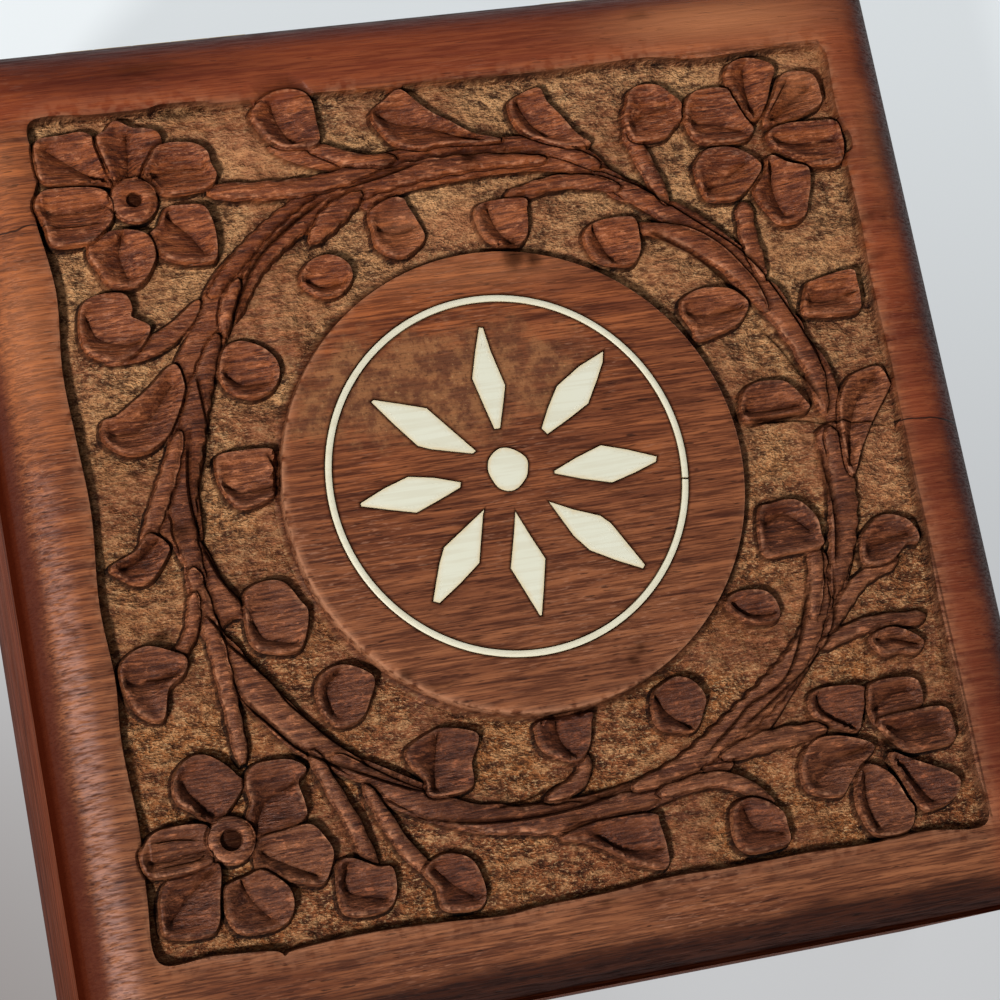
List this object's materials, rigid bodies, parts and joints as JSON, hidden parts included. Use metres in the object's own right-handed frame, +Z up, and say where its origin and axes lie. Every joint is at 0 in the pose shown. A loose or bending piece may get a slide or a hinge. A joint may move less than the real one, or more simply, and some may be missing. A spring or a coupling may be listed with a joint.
{
  "type": "carved wooden box",
  "caption": "Square carved rosewood keepsake box with a hinged plank lid; a wide rounded border frames a vine and flower relief round an inlaid disc.",
  "frame": {"origin": "centre of the box's base, on the underside of the bottom board", "axes": "+Z up, +Y towards the hinged back, +X to the right seen from the front"},
  "size_m": [0.124, 0.1309, 0.057],
  "materials": {
    "body_wood": "satin oiled rosewood",
    "lid_wood": "satin oiled rosewood, carved",
    "inlay": "cream bone-like inlay, sanded flush",
    "brass": "plain brass"
  },
  "bodies": {
    "box": {"front_board": "body_wood", "back_board": "body_wood", "left_board": "body_wood", "right_board": "body_wood", "bottom_board": "body_wood", "hinge_left_fixed_leaf": "brass", "hinge_left_pin": "brass", "hinge_left_fixed_screw_1": "brass", "hinge_left_fixed_screw_2": "brass", "hinge_right_fixed_leaf": "brass", "hinge_right_pin": "brass", "hinge_right_fixed_screw_1": "brass", "hinge_right_fixed_screw_2": "brass"},
    "lid": {"lid_board": "lid_wood", "inlay_ring": "inlay", "inlay_dot": "inlay", "inlay_petal_1": "inlay", "inlay_petal_2": "inlay", "inlay_petal_3": "inlay", "inlay_petal_4": "inlay", "inlay_petal_5": "inlay", "inlay_petal_6": "inlay", "inlay_petal_7": "inlay", "inlay_petal_8": "inlay", "hinge_left_lid_leaf": "brass", "hinge_left_lid_screw_1": "brass", "hinge_left_lid_screw_2": "brass", "hinge_right_lid_leaf": "brass", "hinge_right_lid_screw_1": "brass", "hinge_right_lid_screw_2": "brass"}
  },
  "joints": [
    {"name": "lid_hinge", "type": "hinge", "parent": "box", "child": "lid", "pos_m": [0, 0.0656, 0.0405], "axis": [-1, 0, 0], "range_deg": [0, 110]}
  ]
}
